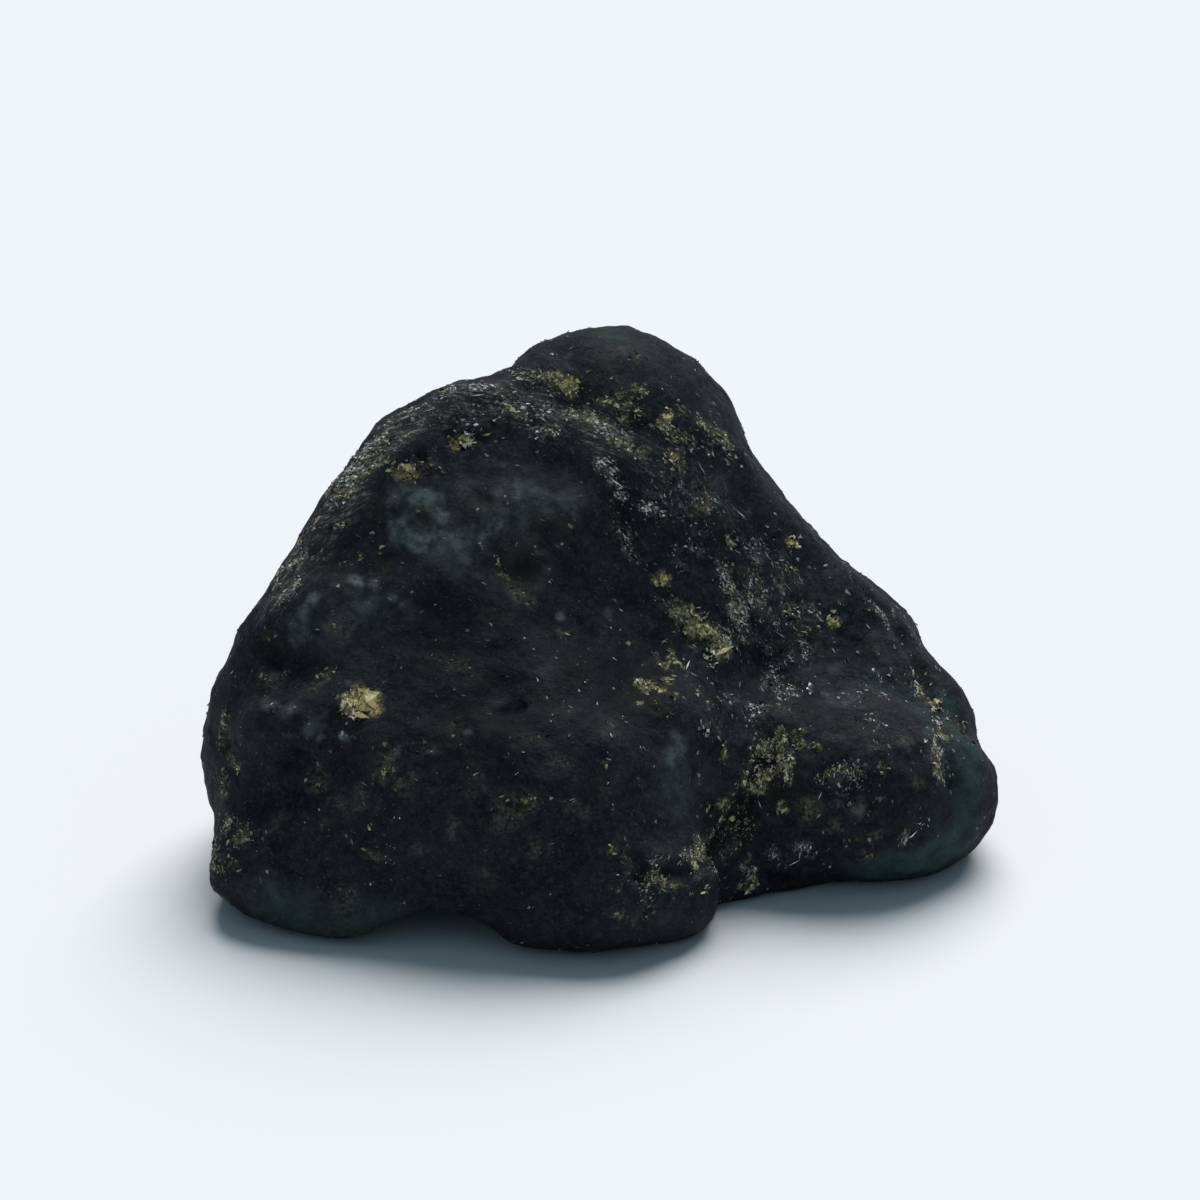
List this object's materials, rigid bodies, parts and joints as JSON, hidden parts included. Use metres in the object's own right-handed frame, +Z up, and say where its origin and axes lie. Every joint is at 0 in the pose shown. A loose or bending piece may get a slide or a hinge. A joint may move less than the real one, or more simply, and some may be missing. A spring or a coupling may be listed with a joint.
{
  "type": "rough emerald gemstone",
  "caption": "Waterworn lump of rough dark emerald in biotite mica, with a broad front mass, a sloping right face and a rounded crown, resting on its own feet.",
  "frame": {"origin": "on the resting plane, under the middle of the stone's bounding box", "axes": "+X to the right along the stone's long side, +Y to its back, +Z up from the resting plane"},
  "size_m": [0.04, 0.0312, 0.0244],
  "materials": {
    "beryl": "matte to waxy waterworn skin, blue-black to green, with tan mica in its hollows and creases"
  },
  "bodies": {
    "root": {"rough_emerald": "beryl"}
  },
  "joints": []
}
